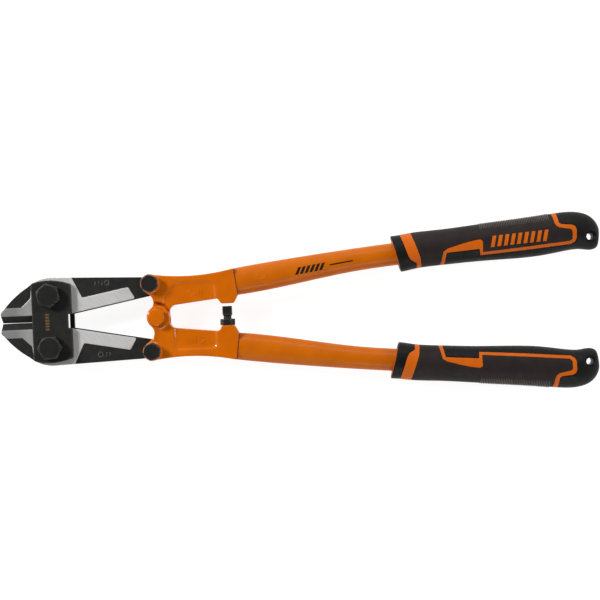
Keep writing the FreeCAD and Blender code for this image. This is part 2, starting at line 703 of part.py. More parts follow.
def forging(lower):
    """The forged head of a handle. The lower one forks round the centre bolt, and the
    upper one has the tongue between. Both fork round the jaw's tail."""
    name = side_name(lower) + "_forging"
    body = new_body(name)
    qx, qy = LINK_PIVOT
    qvx, qvy = plain(qx), plain(qy)
    ear = plain(size.link_ear_radius)
    back_offset = plain(size.ear_back_offset)
    foot_offset = plain(size.ear_foot_offset)
    back_y = qvy + math.sqrt(ear * ear - back_offset ** 2)
    foot_y = qvy - math.sqrt(ear * ear - foot_offset ** 2)
    ring = plain(size.centre_ear_radius)
    ring_x = plain(size.centre_ear_offset)
    neck_foot_y = plain(size.neck_foot_y)
    neck_foot_x = ring_x - math.sqrt(ring * ring - neck_foot_y ** 2)
    seam_low = seam_corner(-(size.tube_width / 2))
    seam_high = seam_corner(size.tube_width / 2)

    sketch = new_sketch(body, name + "_outline")
    corners = [
        (qvx + back_offset, back_y, "arc", size.link_ear_radius),
        (qvx - foot_offset, foot_y),
        (size.neck_x, size.neck_y, "arc", -size.neck_arc_radius),
        (neck_foot_x, neck_foot_y, "arc", size.centre_ear_radius),
        (size.window_x, -0.05),
        (size.window_x, size.window_corner_y, "round", size.window_corner_radius),
        (size.window_end_x, size.window_end_y, "round", 1.0),
        (size.stop_boss_start_x, size.stop_face_y, "round", 1.0),
        (size.stop_boss_end_x, size.stop_face_y, "round", 1.8),
        seam_low,
        seam_high + ("arc", -size.back_radius),
    ]
    outline(sketch, corners)
    pad(body, sketch, size.arm_thickness, symmetric=True)

    # bosses round the bolts, a little thicker than the arm
    bosses = new_sketch(body, name + "_bosses")
    circle(bosses, qx, qy, size.link_ear_radius)
    circle(bosses, size.centre_ear_offset, ZERO, size.centre_ear_radius)
    pad(body, bosses, size.ear_thickness, symmetric=True)

    # slot for the jaw's tail, open towards the jaw
    slot = new_sketch(body, name + "_link_slot")
    reach = size.link_slot_radius
    outline(slot, [
        (qx, qy + reach),
        (qx - 30, qy + reach),
        (qx - 30, qy - reach),
        (qx, qy - reach, "arc", reach),
    ])
    pocket(body, slot, size.link_slot_height, symmetric=True)

    bore = new_sketch(body, name + "_link_bore")
    circle(bore, qx, qy, size.link_bolt_radius + size.running_gap)
    pocket(body, bore, symmetric=True)

    if lower:
        fork_round_centre(body, name)
    else:
        tongue_at_centre(body, name)
    sunk_panel(body, name, lower)
    if lower:
        hole = new_sketch(body, name + "_stop_hole", "XZ_Plane", offset=-size.stop_face_y)
        circle(hole, size.stop_screw_x, ZERO, size.stop_screw_radius + 0.1)
        pocket(body, hole, size.stop_hole_depth)
    tang(body, name)
    place(body, lower)


def fork_round_centre(body, name):
    """Slot for the tongue, open away from the handle, and the bore of the centre bolt."""
    reach = size.centre_slot_radius
    slot = new_sketch(body, name + "_centre_slot")
    outline(slot, [
        (reach, ZERO, "arc", reach),
        (-reach, ZERO),
        (-reach, -CLEAR),
        (reach, -CLEAR),
    ])
    pocket(body, slot, size.centre_slot_height, symmetric=True)
    bore = new_sketch(body, name + "_centre_bore")
    circle(bore, ZERO, ZERO, size.link_bolt_radius + size.running_gap)
    pocket(body, bore, symmetric=True)


def tongue_at_centre(body, name):
    """Thins the centre ear to a tongue, rounds its end and opens its hole."""
    half = size.tongue_thickness / 2
    step = size.tongue_step_radius
    sides = new_sketch(body, name + "_tongue_sides", offset=half)
    outline(sides, [
        (step, ZERO, "arc", step),
        (-step, ZERO),
        (-step, -CLEAR),
        (step, -CLEAR),
    ])
    cut = pocket(body, sides, reverse=True)
    mirror_to_back(body, cut)

    end = new_sketch(body, name + "_tongue_end")
    reach = size.tongue_radius
    outline(end, [
        (-reach, ZERO, "arc", reach),
        (reach, ZERO),
        (size.window_x + 1, ZERO),
        (size.window_x + 1, -CLEAR),
        (-CLEAR, -CLEAR),
        (-CLEAR, ZERO),
    ])
    pocket(body, end, symmetric=True)
    hole = new_sketch(body, name + "_tongue_hole")
    circle(hole, ZERO, ZERO, size.tongue_hole_radius)
    pocket(body, hole, symmetric=True)


def sunk_panel(body, name, lower):
    """The shallow panel pressed into both faces of the arm."""
    floor = size.arm_thickness / 2 - size.panel_depth
    sketch = new_sketch(body, name + "_panel", offset=floor)
    top = size.panel_top_y
    end = size.panel_end_x
    foot = size.panel_foot_y
    bend = size.panel_bend_radius
    if lower:
        side = [(size.panel_start_x, top, "round", bend), (size.panel_start_x, foot)]
    else:
        side = [(size.panel_shoulder_x, top, "round", bend),
                (size.panel_slant_x, size.panel_slant_y, "round", bend),
                (size.panel_slant_x, foot)]
    outline(sketch, [(end, foot), (end, top, "round", size.panel_corner_radius)] + side)
    cut = pocket(body, sketch, reverse=True)
    mirror_to_back(body, cut)


def tang(body, name):
    """The part of the forging that sits inside the tube."""
    gap = size.tube_wall + size.tang_gap
    sketch = body.newObject("Sketcher::SketchObject", name + "_tang_section")
    sketch.AttachmentSupport = [(origin_plane(body, "YZ_Plane"), "")]
    sketch.MapMode = "FlatFace"
    # the plane's own axes are the tool's Y and Z, and its normal is the tool's X
    sketch.AttachmentOffset = FreeCAD.Placement(
        V(plain(size.seam_y), 0, plain(size.seam_x)),
        FreeCAD.Rotation(V(0, 1, 0), plain(size.seam_angle)))
    sketch.setExpression("AttachmentOffset.Base.x", size.seam_y.formula)
    sketch.setExpression("AttachmentOffset.Base.z", size.seam_x.formula)
    wide = size.tube_width / 2 - gap
    high = size.arm_thickness / 2 - gap
    ellipse = Part.Ellipse(V(0, 0, 0), plain(wide), plain(high))
    geometry = sketch.addGeometry(ellipse)
    sketch.addConstraint(Sketcher.Constraint("Coincident", geometry, 3, -1, 1))
    sketch.exposeInternalGeometry(geometry)
    sketch.addConstraint(Sketcher.Constraint("Horizontal", geometry + 1))
    for line, reach in ((geometry + 1, wide * 2), (geometry + 2, high * 2)):
        index = sketch.addConstraint(Sketcher.Constraint("Distance", line, plain(reach)))
        sketch.setExpression("Constraints[%d]" % index, reach.formula)
    pad(body, sketch, size.tang_length)


# ---------------------------------------------------------------- tubes and grips

def station(name, x, y, angle, width, thickness):
    """An ellipse across the handle at x, y, where the handle runs at the given angle."""
    ellipse = doc.addObject("Part::Ellipse", name)
    bind(ellipse, "MajorRadius", width / 2)
    bind(ellipse, "MinorRadius", thickness / 2)
    bearing = math.radians(plain(angle))
    across = V(-math.sin(bearing), math.cos(bearing), 0)
    along = V(math.cos(bearing), math.sin(bearing), 0)
    turn = FreeCAD.Rotation(across, Z_AXIS, along, "ZXY")
    ellipse.Placement = FreeCAD.Placement(V(plain(x), plain(y), 0), turn)
    for axis, number in (("x", x), ("y", y)):
        if isinstance(number, Size):
            ellipse.setExpression("Placement.Base." + axis, number.formula)
    return ellipse


def loft(name, sections):
    feature = doc.addObject("Part::Loft", name)
    feature.Sections = sections
    feature.Solid = True
    feature.Ruled = False
    return feature


def combine(kind, name, first, second):
    """A Part::Cut, Part::Common or Part::Fuse of two objects."""
    feature = doc.addObject(kind, name)
    feature.Base = first
    feature.Tool = second
    return feature


# The sections below are rows of x, y, angle of the handle in degrees, width and thickness.
STRAIGHT_START = (180.0, 39.9)
STRAIGHT_MIDDLE_X = 250.0


def tube_stations(name, shrink):
    """Sections of the tube, each side smaller by shrink, from the seam into the grip."""
    start_x, start_y = STRAIGHT_START
    rise = (plain(size.tube_end_y) - start_y) / (plain(size.tube_end_x) - start_x)
    slope = math.degrees(math.atan(rise))
    rows = [
        (size.seam_x, size.seam_y, size.seam_angle, size.tube_width, size.arm_thickness),
        (82.0, 27.25, 8.3, size.tube_width + 0.3, size.arm_thickness),
        (115.0, 32.1, 8.3, size.tube_width - 1.3, size.arm_thickness + 0.7),
        (size.tube_waist_x, size.tube_waist_y, 7.2, size.tube_diameter + 0.3,
         size.tube_diameter - 0.3),
        (start_x, start_y, slope, size.tube_diameter, size.tube_diameter),
        (STRAIGHT_MIDDLE_X, start_y + (STRAIGHT_MIDDLE_X - start_x) * rise, slope,
         size.tube_diameter, size.tube_diameter),
        (size.tube_end_x, size.tube_end_y, slope, size.tube_diameter, size.tube_diameter),
    ]
    sections = []
    for i, (x, y, angle, width, thickness) in enumerate(rows):
        sections.append(station("%s_%d" % (name, i), x, y, angle,
                                width - shrink * 2, thickness - shrink * 2))
    return sections


def tube(lower):
    """The steel tube of a handle: flattened where it meets the forging, round in the grip."""
    name = side_name(lower) + "_tube"
    outside = loft(name + "_outside", tube_stations(name + "_outer", 0.0))
    inside = loft(name + "_inside", tube_stations(name + "_inner", size.tube_wall))
    wall = combine("Part::Cut", name + "_wall", outside, inside)
    wall.Label = name
    nodes.append(wall)
    place(wall, lower)


def grip_stations(name, inset):
    """Sections of the grip, from inside the front rim to the rounded end."""
    full = size.grip_thickness
    rows = [
        (176.0, 40.0, 5.0, 27.0, full),
        (195.0, 41.9, 5.0, 27.4, full - 0.1),
        (215.0, 43.6, 4.5, 26.9, full - 0.1),
        (240.0, 45.5, 3.6, 27.6, full),
        (265.0, 47.1, 4.2, 29.1, full),
        (290.0, 49.1, 6.5, 30.0, full),
        (308.0, 51.5, 8.0, 29.3, full - 0.6),
        (319.0, 52.0, 5.0, 28.4, full - 2.4),
        (327.4, 50.1, -3.0, 26.2, full - 5.2),
        (332.5, 47.7, -6.0, 20.6, full - 9.0),
        (335.0, 46.3, -6.0, 13.0, full - 15.5),
    ]
    sections = []
    for i, (x, y, angle, width, thickness) in enumerate(rows):
        if inset and x > plain(size.tube_end_x):
            break
        thick = thickness - 2 * inset
        wide = width - 2 * inset
        sections.append(station("%s_%d" % (name, i), x, y, angle, wide, thick))
    return sections


# Edge lines of the grip's colour fields, seen from the front, each from the inner side of the
# grip to its outer side.
FRONT_RIM = [(186.0, 24.0), (177.7, 56.0)]
BAND_FRONT = [(197.6, 24.0), (197.0, 32.4), (192.6, 34.9), (191.0, 37.5), (184.3, 57.0)]
BAND_REAR = [(201.6, 24.0), (199.8, 36.6), (192.4, 58.0)]
LINE_INNER = [
    (214.4, 24.0), (215.2, 31.0), (217.3, 40.0), (220.2, 42.0), (230.6, 45.1), (239.6, 47.2),
    (245.0, 48.0), (246.9, 46.6), (246.9, 38.4), (280.0, 41.1), (312.6, 44.1), (314.4, 45.9),
    (314.4, 51.4), (313.2, 53.0), (304.4, 54.5), (302.3, 56.1), (301.3, 58.2), (298.6, 70.0),
]
LINE_OUTER = [
    (217.9, 24.0), (218.2, 31.5), (219.6, 39.0), (244.4, 40.9), (245.0, 36.1), (280.0, 38.8),
    (313.4, 41.8), (316.6, 43.9), (317.5, 46.2), (317.5, 52.8), (316.3, 55.2), (314.2, 56.2),
    (306.2, 56.9), (304.5, 58.2), (302.6, 70.0),
]
BEYOND_END = [(345.0, 24.0), (345.0, 70.0)]


def field(name, first_line, second_line):
    """A block through the whole grip between two edge lines of the colour fields."""
    sketch = doc.addObject("Sketcher::SketchObject", name + "_outline")
    outline(sketch, first_line + second_line[::-1])
    block = doc.addObject("Part::Extrusion", name + "_block")
    block.Base = sketch
    block.DirMode = "Custom"
    block.Dir = Z_AXIS
    bind(block, "LengthFwd", size.grip_thickness + size.cutter_spare)
    block.Symmetric = True
    block.Solid = True
    return block


def grip(lower):
    """A moulded grip: a hard core that shows as the coloured band and line, and three soft
    covers over it. The core slides over the tube."""
    side = side_name(lower)
    name = side + "_grip"
    outside = loft(name + "_outside", grip_stations(name + "_outer", 0.0))
    inside = loft(name + "_inside", grip_stations(name + "_inner", plain(size.grip_cover)))
    bore = loft(name + "_bore", tube_stations(name + "_bored", -size.bore_gap))
    shift = size.lower_grip_shift if lower else ZERO
    bore.Placement = FreeCAD.Placement(V(-plain(shift), 0, 0), FreeCAD.Rotation())

    front = field(name + "_front", FRONT_RIM, BAND_FRONT)
    band = field(name + "_band", BAND_FRONT, BAND_REAR)
    middle = field(name + "_middle", BAND_REAR, LINE_INNER)
    line = field(name + "_line", LINE_INNER, LINE_OUTER)
    rear = field(name + "_rear", LINE_OUTER, BEYOND_END)
    whole = field(name + "_length", FRONT_RIM, BEYOND_END)

    hole = hang_hole(name)
    shown = combine("Part::Fuse", name + "_fields", band, line)
    shown = combine("Part::Common", name + "_shown", outside, shown)
    sleeve = combine("Part::Common", name + "_sleeve", inside, whole)
    solid = combine("Part::Fuse", name + "_solid_core", sleeve, shown)
    core = combine("Part::Cut", name + "_core_cut", solid, bore)
    finish(core, name + "_core", lower, shift)
    for part, block in (("collar", front), ("pad", middle), ("end_cap", rear)):
        cover = combine("Part::Common", "%s_%s_field" % (name, part), outside, block)
        cover = combine("Part::Cut", "%s_%s_shell" % (name, part), cover, solid)
        if part == "end_cap":
            cover = combine("Part::Cut", "%s_%s_drilled" % (name, part), cover, hole)
        cover = combine("Part::Cut", "%s_%s_bored" % (name, part), cover, bore)
        finish(cover, "%s_%s" % (name, part), lower, shift)


def hang_hole(name):
    """The hanging hole with the flats round its two mouths, as one cutting solid."""
    length = size.grip_thickness + size.cutter_spare
    drill = cylinder(name + "_drill", size.hang_hole_radius, length, -length / 2)
    seat = size.hang_seat_thickness / 2
    front = cylinder(name + "_front_seat", size.hang_seat_radius, size.grip_thickness, seat)
    back = cylinder(name + "_back_seat", size.hang_seat_radius, size.grip_thickness,
                    -(seat + size.grip_thickness))
    cutter = doc.addObject("Part::MultiFuse", name + "_hole")
    cutter.Shapes = [drill, front, back]
    return cutter


def cylinder(name, radius, height, base):
    feature = doc.addObject("Part::Cylinder", name)
    bind(feature, "Radius", radius)
    bind(feature, "Height", height)
    feature.setExpression("Placement.Base.x", size.hang_hole_x.formula)
    feature.setExpression("Placement.Base.y", size.hang_hole_y.formula)
    feature.setExpression("Placement.Base.z", base.formula)
    return feature


def finish(thing, label, lower, shift):
    thing.Label = label
    nodes.append(thing)
    place(thing, lower, shift)


# ---------------------------------------------------------------- build

head_plate("front_plate", front=True)
head_plate("rear_plate", front=False)
for lower in (False, True):
    jaw(lower)
    forging(lower)
    tube(lower)
    grip(lower)
bolts_and_nuts()
stop_screw()
doc.recompute()

for thing in doc.Objects:
    if "Invalid" in thing.State or "Error" in thing.State:
        raise RuntimeError("%s did not build: %s" % (thing.Name, thing.State))
for node in nodes:
    if node.Shape.isNull() or not node.Shape.isValid():
        raise RuntimeError("%s has no valid shape" % node.Label)

os.makedirs("parts", exist_ok=True)
for node in nodes:
    node.Shape.exportStep("parts/%s.step" % node.Label)
    box = node.Shape.BoundBox
    print("%-24s %9.1f mm3  solids %d  x %7.1f %7.1f  y %6.1f %6.1f  z %5.1f %5.1f" % (
        node.Label, node.Shape.Volume, len(node.Shape.Solids),
        box.XMin, box.XMax, box.YMin, box.YMax, box.ZMin, box.ZMax))
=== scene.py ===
"""Looks of a pair of bolt cutters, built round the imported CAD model. Blender's own lengths are
in metres. Places and sizes named here are in millimetres from the centre pivot, unless a comment
says metres, and angles are in degrees."""

import json
import math

import bmesh
import bpy
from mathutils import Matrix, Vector
from mathutils.bvhtree import BVHTree

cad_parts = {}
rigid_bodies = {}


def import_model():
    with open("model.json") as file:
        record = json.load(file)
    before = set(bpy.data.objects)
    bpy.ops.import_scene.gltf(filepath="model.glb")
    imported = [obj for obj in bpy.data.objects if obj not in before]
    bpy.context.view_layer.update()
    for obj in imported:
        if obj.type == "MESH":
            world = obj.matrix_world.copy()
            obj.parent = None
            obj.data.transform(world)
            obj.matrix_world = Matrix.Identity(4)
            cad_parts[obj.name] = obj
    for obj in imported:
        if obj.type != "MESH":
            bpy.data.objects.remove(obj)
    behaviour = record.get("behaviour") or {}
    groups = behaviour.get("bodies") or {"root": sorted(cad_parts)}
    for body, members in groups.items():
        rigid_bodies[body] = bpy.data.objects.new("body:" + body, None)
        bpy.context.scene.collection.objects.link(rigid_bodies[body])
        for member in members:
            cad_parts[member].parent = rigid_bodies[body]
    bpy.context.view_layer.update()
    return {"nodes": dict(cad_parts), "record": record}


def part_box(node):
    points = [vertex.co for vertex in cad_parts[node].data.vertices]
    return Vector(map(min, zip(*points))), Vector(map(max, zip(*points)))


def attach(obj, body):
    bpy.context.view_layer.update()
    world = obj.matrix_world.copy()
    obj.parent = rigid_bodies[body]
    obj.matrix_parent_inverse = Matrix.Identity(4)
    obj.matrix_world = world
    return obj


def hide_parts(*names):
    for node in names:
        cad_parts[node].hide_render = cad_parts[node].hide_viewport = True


MM = 0.001
WHITE = (1.0, 1.0, 1.0, 1.0)

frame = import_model()
NODES = frame["nodes"]
BODY_OF = {node: body for body, group in frame["record"]["behaviour"]["bodies"].items()
           for node in group}


def middle(node):
    low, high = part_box(node)
    return (low + high) / 2


# The centre pivot in the tool's middle plane: every place below is measured from here.
PIVOT = Vector((middle("centre_bolt").x, middle("centre_bolt").y, middle("upper_jaw").z))


def at(x, y, z=0.0):
    """A place given in millimetres from the centre pivot."""
    return PIVOT + Vector((x, y, z)) * MM


# ---------------------------------------------------------------- materials

# The line where a handle's tube meets its forging: a place on it, its lean, how far it wanders,
# how dark it is, and the half widths at which it starts to fade and is gone.
SEAM = (60.6, 24.4)
SEAM_ANGLE = 7.5
SEAM_WANDER = 0.1
SEAM_DARK = 0.9
SEAM_HALF_WIDTH = (0.25, 0.5)
SEAM_COLOUR = (100, 36, 2)

SPECK_COLOUR = (120, 48, 6)
SPECK_STRENGTH = 0.15
# Lighter grey for the sharp edges of blackened steel: partly rubbed wear, partly a painted
# highlight.
SCUFF_AND_HIGHLIGHT_COLOUR = (105, 104, 100)
# The mesh's pointiness where an edge starts to count as sharp, and where it fully does.
SHARP_EDGE = (0.50, 0.56)

# Heights from the jaw's middle plane between which its as-forged skin gives way to ground steel,
# how metallic that steel is, and the lean and stretch of its grinding marks.
GROUND_HEIGHT = (4.28, 4.40)
GROUND_METAL = 0.45
GRIND_ANGLE = -42.0
GRIND_STRETCH = (14.0, 0.7, 1.0)
# The ground steel is darker towards the nose: two places along x, how much of the darker colour
# is mixed in at each, and that colour.
NOSE = (-106, -84)
NOSE_DARKENING = (0.85, 0.25)
NOSE_COLOUR = (104, 104, 102)

WORN_INK = 0.8
FLOOR_GLOW = 0.9


def srgb(red, green, blue):
    """A colour given as 0 to 255, as linear light with alpha."""
    return tuple(((c / 255 + 0.055) / 1.055) ** 2.4 if c > 10 else c / 255 / 12.92
                 for c in (red, green, blue)) + (1.0,)


class Finish:
    """One procedural material. Each method adds a node and returns its output."""

    def __init__(self, name, roughness, **shader_settings):
        self.material = bpy.data.materials.new(name)
        self.material.use_nodes = True
        self.tree = self.material.node_tree
        self.shader = self.tree.nodes["Principled BSDF"]
        self.shader.inputs["Roughness"].default_value = roughness
        for socket, value in shader_settings.items():
            self.shader.inputs[socket.replace("_", " ")].default_value = value
        self.place = self.add("ShaderNodeTexCoord").outputs["Object"]

    def add(self, kind, **settings):
        node = self.tree.nodes.new(kind)
        for key, value in settings.items():
            setattr(node, key, value)
        return node

    def feed(self, socket, value):
        """Sets a socket to a number or colour, or links an output to it."""
        if isinstance(value, bpy.types.NodeSocket):
            self.tree.links.new(value, socket)
        else:
            socket.default_value = value

    def math(self, operation, first, second=0.0):
        node = self.add("ShaderNodeMath", operation=operation)
        self.feed(node.inputs[0], first)
        self.feed(node.inputs[1], second)
        return node.outputs[0]

    def turned(self, angle, stretch):
        """Object coordinates turned about Z by an angle in degrees, then stretched."""
        node = self.add("ShaderNodeMapping", vector_type="TEXTURE")
        self.feed(node.inputs["Vector"], self.place)
        node.inputs["Rotation"].default_value = (0.0, 0.0, math.radians(angle))
        node.inputs["Scale"].default_value = stretch
        return node.outputs[0]

    def noise(self, grain, detail=3.0, vector=None):
        """Noise whose features are about the grain, in millimetres, across."""
        node = self.add("ShaderNodeTexNoise")
        self.feed(node.inputs["Vector"], vector or self.place)
        node.inputs["Scale"].default_value = 1 / (grain * MM)
        node.inputs["Detail"].default_value = detail
        return node.outputs["Fac"]

    def cells(self, grain):
        """Distance inside rounded cells whose size is about the grain, in millimetres."""
        node = self.add("ShaderNodeTexVoronoi")
        self.feed(node.inputs["Vector"], self.place)
        node.inputs["Scale"].default_value = 1 / (grain * MM)
        return node.outputs["Distance"]

    def spread(self, value, low, high, to_low=0.0, to_high=1.0):
        """Maps the range from low to high on to another, and stops at its ends."""
        node = self.add("ShaderNodeMapRange")
        for socket, number in zip(node.inputs, (value, low, high, to_low, to_high)):
            self.feed(socket, number)
        return node.outputs[0]

    def mix(self, amount, first, second):
        node = self.add("ShaderNodeMix", data_type="RGBA")
        self.feed(node.inputs[0], amount)
        self.feed(node.inputs[6], first)
        self.feed(node.inputs[7], second)
        return node.outputs[2]

    def axis(self, name):
        node = self.add("ShaderNodeSeparateXYZ")
        self.feed(node.inputs[0], self.place)
        return node.outputs[name]

    def edges(self):
        """1 on sharp outer edges, by the mesh's own curvature, and 0 elsewhere."""
        pointiness = self.add("ShaderNodeNewGeometry").outputs["Pointiness"]
        return self.spread(pointiness, *SHARP_EDGE)

    def bump(self, height, depth):
        """A relief of the given depth, in millimetres."""
        node = self.add("ShaderNodeBump")
        self.feed(node.inputs["Height"], height)
        node.inputs["Distance"].default_value = depth * MM
        return node.outputs["Normal"]

    def finish(self, colour, roughness=None, normal=None, metallic=None):
        """Feeds the shader and returns the material."""
        for socket, value in (("Base Color", colour), ("Roughness", roughness),
                              ("Normal", normal), ("Metallic", metallic)):
            if value is not None:
                self.feed(self.shader.inputs[socket], value)
        return self.material


def seam_line(paint):
    """Near 1 in the narrow gap where a handle's tube meets its forging, and 0 elsewhere."""
    angle = math.radians(SEAM_ANGLE)
    x = paint.math("SUBTRACT", paint.axis("X"), PIVOT.x + SEAM[0] * MM)
    y = paint.math("ABSOLUTE", paint.math("SUBTRACT", paint.axis("Y"), PIVOT.y))
    y = paint.math("SUBTRACT", y, SEAM[1] * MM)
    along = paint.math("ADD", paint.math("MULTIPLY", x, math.cos(angle)),
                       paint.math("MULTIPLY", y, math.sin(angle)))
    wander = paint.spread(paint.noise(2.0), 0.3, 0.7, -SEAM_WANDER * MM, SEAM_WANDER * MM)
    off = paint.math("ABSOLUTE", paint.math("ADD", along, wander))
    inner, outer = SEAM_HALF_WIDTH
    return paint.spread(off, inner * MM, outer * MM, SEAM_DARK, 0.0)


def enamel(name, dark, light, gloss, coat, shine):
    """Orange paint with a faint orange peel and a few specks. Gloss is its lowest roughness."""
    paint = Finish(name, 0.3, Specular_IOR_Level=shine, Coat_Weight=coat, Coat_Roughness=0.05)
    cloud = paint.noise(14.0, 2.0)
    body = paint.mix(paint.spread(cloud, 0.35, 0.65), srgb(*dark), srgb(*light))
    peel = paint.noise(1.6, 2.0)
    speck = paint.spread(paint.noise(0.5, 4.0), 0.66, 0.72)
    body = paint.mix(paint.math("MULTIPLY", speck, SPECK_STRENGTH), body, srgb(*SPECK_COLOUR))
    body = paint.mix(seam_line(paint), body, srgb(*SEAM_COLOUR))
    rough = paint.spread(paint.noise(6.0, 5.0), 0.3, 0.7, gloss, gloss + 0.1)
    return paint.finish(body, rough, paint.bump(peel, 0.012))


def black_oxide(name, grey, wear_and_highlight):
    """Blackened steel: a dark, uneven skin, its edges lighter by wear and by a painted highlight.
    """
    steel = Finish(name, 0.5, Specular_IOR_Level=0.2)
    cloud = steel.spread(steel.noise(5.0, 5.0), 0.3, 0.7)
    dark = srgb(grey - 12, grey - 12, grey - 12)
    light = srgb(grey - 4, grey - 4, grey - 5)
    skin = steel.mix(cloud, dark, light)
    # Sharp edges are lightened here: partly rubbed wear, partly a painted highlight.
    scuff_and_highlight = steel.math("MULTIPLY", steel.edges(), steel.spread(steel.noise(1.2, 4.0), 0.4, 0.6))
    skin = steel.mix(steel.math("MULTIPLY", scuff_and_highlight, wear_and_highlight), skin, srgb(*SCUFF_AND_HIGHLIGHT_COLOUR))
    rough = steel.spread(steel.noise(2.0, 4.0), 0.3, 0.7, 0.42, 0.55)
    grain = steel.noise(0.8, 4.0)
    return steel.finish(skin, rough, steel.bump(grain, 0.012))


def jaw_steel():
    """Forged jaw: black and rough where it was left as forged, bright where it was ground."""
    steel = Finish("jaw_steel", 0.4, Specular_IOR_Level=0.25)
    face = steel.math("ABSOLUTE", steel.math("SUBTRACT", steel.axis("Z"), PIVOT.z))
    low, high = GROUND_HEIGHT
    ground = steel.spread(face, low * MM, high * MM)
    along = steel.turned(GRIND_ANGLE, GRIND_STRETCH)
    marks = steel.noise(0.6, 4.0, along)
    grey = steel.mix(steel.spread(marks, 0.3, 0.7), srgb(212, 212, 210), srgb(236, 235, 233))
    tip, shoulder = NOSE
    nose = steel.spread(steel.axis("X"), at(tip, 0).x, at(shoulder, 0).x, *NOSE_DARKENING)
    grey = steel.mix(nose, grey, srgb(*NOSE_COLOUR))
    black = steel.mix(steel.spread(steel.noise(4.0, 5.0), 0.3, 0.7),
                      srgb(22, 22, 22), srgb(32, 32, 31))
    rough = steel.spread(ground, 0.0, 1.0, 0.55, 0.5)
    relief = steel.mix(ground, steel.noise(0.9, 5.0), marks)
    return steel.finish(steel.mix(ground, black, grey), rough, steel.bump(relief, 0.01),
                        steel.math("MULTIPLY", ground, GROUND_METAL))


def moulded(name, first, second, rough, grain=0.45, depth=0.03):
    """Moulded plastic or soft rubber with a fine spark-eroded texture."""
    plastic = Finish(name, rough, Specular_IOR_Level=0.16)
    cloud = plastic.spread(plastic.noise(9.0, 4.0), 0.3, 0.7)
    fine = plastic.spread(plastic.noise(0.5, 3.0), 0.35, 0.65, -0.15, 0.15)
    colour = plastic.mix(plastic.math("ADD", cloud, fine), srgb(*first), srgb(*second))
    dull = plastic.spread(plastic.noise(3.0, 4.0), 0.3, 0.7, rough - 0.06, rough + 0.08)
    return plastic.finish(colour, dull, plastic.bump(plastic.cells(grain), depth))


def printed(name, colour):
    """Printed ink, a little worn."""
    ink = Finish(name, 0.5, Specular_IOR_Level=0.2)
    worn = ink.spread(ink.noise(0.7, 4.0), 0.3, 0.7)
    shade = ink.mix(worn, srgb(*colour), srgb(*[c * WORN_INK for c in colour]))
    return ink.finish(shade, None, ink.bump(ink.noise(0.3), 0.01))


def floor_paper():
    """A pale light table: it glows, which keeps the shadows faint."""
    paper = Finish("pale_floor", 0.9, Specular_IOR_Level=0.0, Emission_Color=WHITE,
                   Emission_Strength=FLOOR_GLOW)
    tone = paper.spread(paper.noise(30.0, 3.0), 0.3, 0.7)
    return paper.finish(paper.mix(tone, srgb(134, 134, 134), srgb(136, 136, 136)))


# One material for each slot of the record, then a few that vary a slot on some pieces.
MATERIALS = {
    "enamel_orange": enamel("enamel_gloss", (190, 92, 0), (198, 98, 0), 0.3, 0.5, 0.15),
    "jaw_steel": jaw_steel(),
    "plate_black": black_oxide("plate_black", 39, 0.5),
    "bolt_black": black_oxide("bolt_black", 34, 0.9),
    "grip_orange": moulded("grip_orange", (188, 86, 2), (196, 92, 6), 0.5),
    "grip_black": moulded("grip_black", (11, 11, 10), (17, 17, 16), 0.52),
    "grip_charcoal": moulded("grip_charcoal", (31, 25, 23), (38, 32, 30), 0.62, 0.6, 0.03),
}
ENAMEL_SATIN = enamel("enamel_satin", (182, 90, 0), (190, 96, 0), 0.4, 0.05, 0.13)
GOLD_PRINT = printed("gold_print", (104, 82, 50))
FORGE_SKIN = black_oxide("forge_skin", 52, 0.6)
# The ribs are the pad's rubber, coloured much lighter as a painted highlight on their tips.
RIB_RUBBER_PAINTED_HIGHLIGHT = moulded("rib_rubber_painted_highlight", (76, 69, 64), (96, 88, 82), 0.34, 0.6, 0.02)
BLACK_PRINT = printed("black_print", (26, 22, 20))

# The slot of a node goes by the first of these words that its name contains.
SLOT_BY_WORD = [
    ("centre_", "enamel_orange"), ("forging", "enamel_orange"), ("tube", "enamel_orange"),
    ("grip_core", "grip_orange"), ("grip_pad", "grip_charcoal"), ("grip_", "grip_black"),
    ("plate", "plate_black"), ("bolt", "bolt_black"), ("nut", "bolt_black"),
    ("screw", "bolt_black"), ("jaw", "jaw_steel"),
]
SLOT_OF = {node: next(slot for word, slot in SLOT_BY_WORD if word in node) for node in NODES}


# ---------------------------------------------------------------- meshes

# The part of a forging round its sunk panel: x, and distance from the tool's centre line. It
# gets this many times the rounds of smoothing on top of the usual ones.
PANEL_X = (3.0, 48.0)
PANEL_Y = (15.0, 27.5)
EXTRA_SMOOTHING = 3
MERGE_DISTANCE = 0.001


def settled(thing):
    """Applies the modifiers of a piece."""
    graph = bpy.context.evaluated_depsgraph_get()
    mesh = bpy.data.meshes.new_from_object(thing.evaluated_get(graph))
    thing.modifiers.clear()
    thing.data = mesh


def new_piece(name, mesh, material):
    """An object in the scene with one material."""
    thing = bpy.data.objects.new(name, mesh)
    bpy.context.scene.collection.objects.link(thing)
    thing.data.materials.clear()
    thing.data.materials.append(material)
    return thing


def in_panel(place):
    """True round the wall of a forging's sunk panel."""
    x = (place.x - PIVOT.x) / MM
    y = abs(place.y - PIVOT.y) / MM
    return PANEL_X[0] < x < PANEL_X[1] and PANEL_Y[0] < y < PANEL_Y[1]


